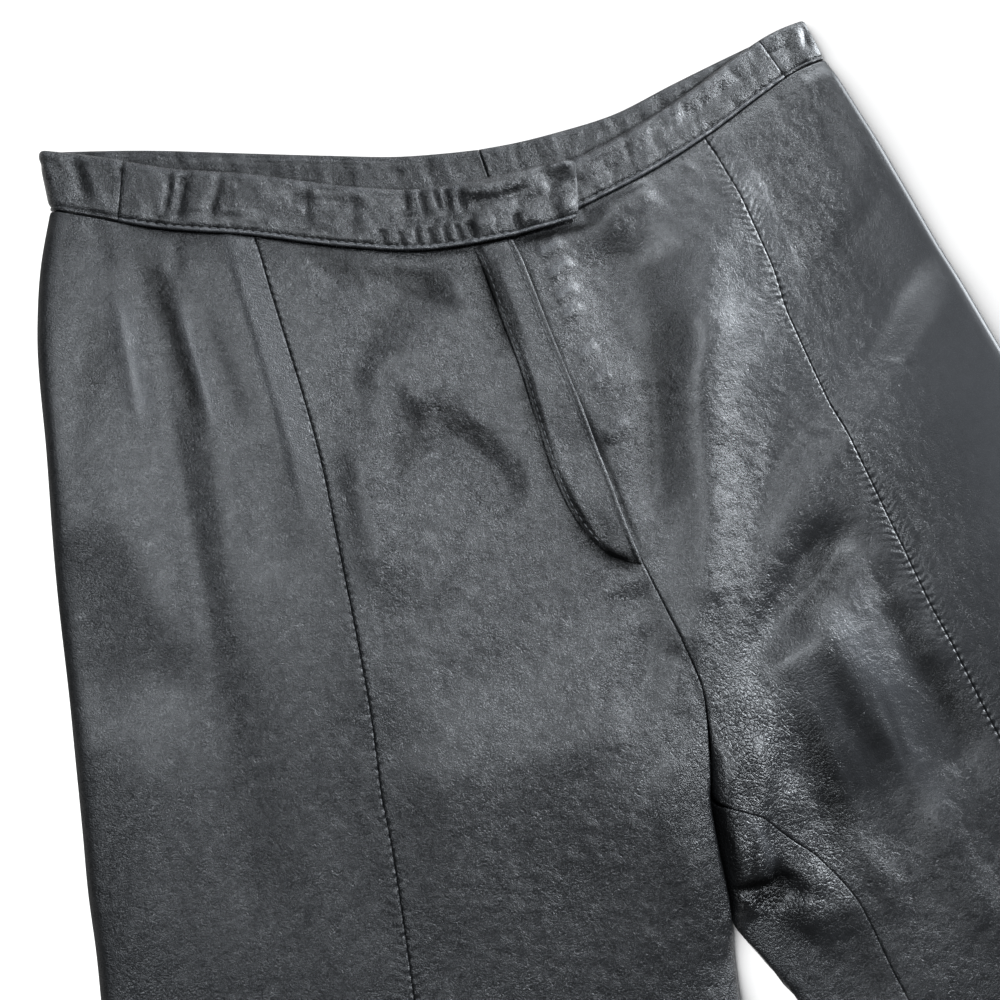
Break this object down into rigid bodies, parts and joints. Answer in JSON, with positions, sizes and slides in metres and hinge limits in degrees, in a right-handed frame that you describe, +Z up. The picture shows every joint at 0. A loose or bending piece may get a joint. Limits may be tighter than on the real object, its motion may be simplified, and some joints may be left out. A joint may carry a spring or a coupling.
{
  "type": "leather trousers",
  "caption": "High-waisted leather trousers with straight legs, panel seams and a lapped waistband, lying flat with the front up.",
  "frame": {"origin": "centre of the outline, on the surface that the trousers lie on", "axes": "+X towards the wearer's left, +Y towards the waist, +Z up out of the front"},
  "size_m": [0.7522, 1.1245, 0.0163],
  "materials": {
    "panel_leather": "smooth semi-gloss nappa",
    "band_leather": "smooth semi-gloss nappa"
  },
  "bodies": {
    "root": {"front_panel_right": "panel_leather", "front_panel_left": "panel_leather", "side_panel_right": "panel_leather", "side_panel_left": "panel_leather", "back_panel_right": "panel_leather", "back_panel_left": "panel_leather", "fly_placket": "panel_leather", "waistband_front_right": "band_leather", "waistband_front_left": "band_leather", "waistband_back_right": "band_leather", "waistband_back_left": "band_leather"}
  },
  "joints": []
}
